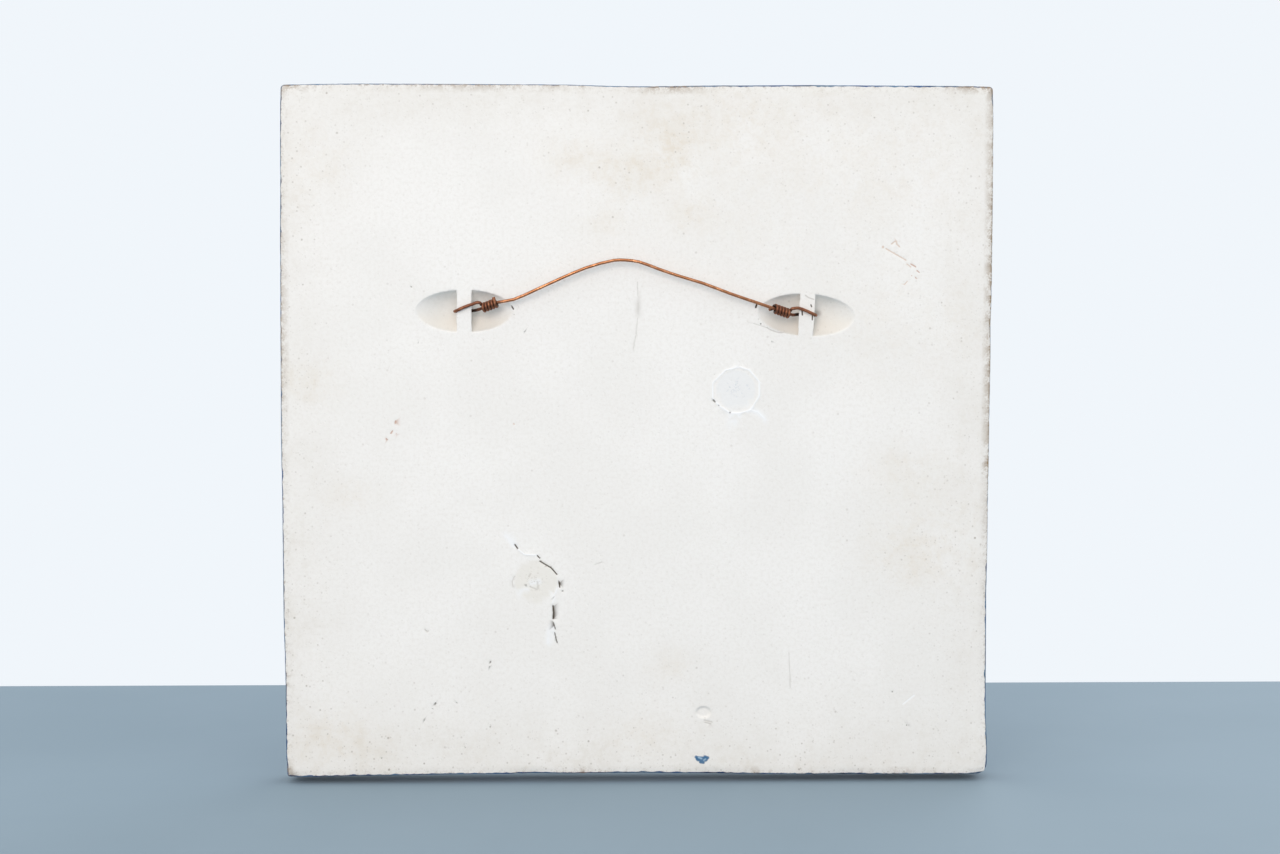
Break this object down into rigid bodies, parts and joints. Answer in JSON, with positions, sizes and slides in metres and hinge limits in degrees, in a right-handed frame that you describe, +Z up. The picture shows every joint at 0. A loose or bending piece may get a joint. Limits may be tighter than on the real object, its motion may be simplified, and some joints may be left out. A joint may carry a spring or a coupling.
{
  "type": "decorative wall plaque",
  "caption": "Square glazed stoneware wall plaque with two scooped lugs in its bare back and a tied copper hanging wire between them.",
  "frame": {"origin": "the underside of the hanging wire where a hook holds it, above the middle of the plaque", "axes": "+Z up, -Y out of the glazed front, +Y out of the back towards the wall, +X to the right as the front is seen"},
  "size_m": [0.4015, 0.0285, 0.3915],
  "materials": {
    "plaque_stoneware": "bare off-white stoneware on the back, deep blue mottled glaze on the front and sides",
    "copper_wire": "solid copper wire, dull and browned, with bright rubbed stretches"
  },
  "bodies": {
    "root": {"plaque_body": "plaque_stoneware", "hanging_wire": "copper_wire"}
  },
  "joints": []
}
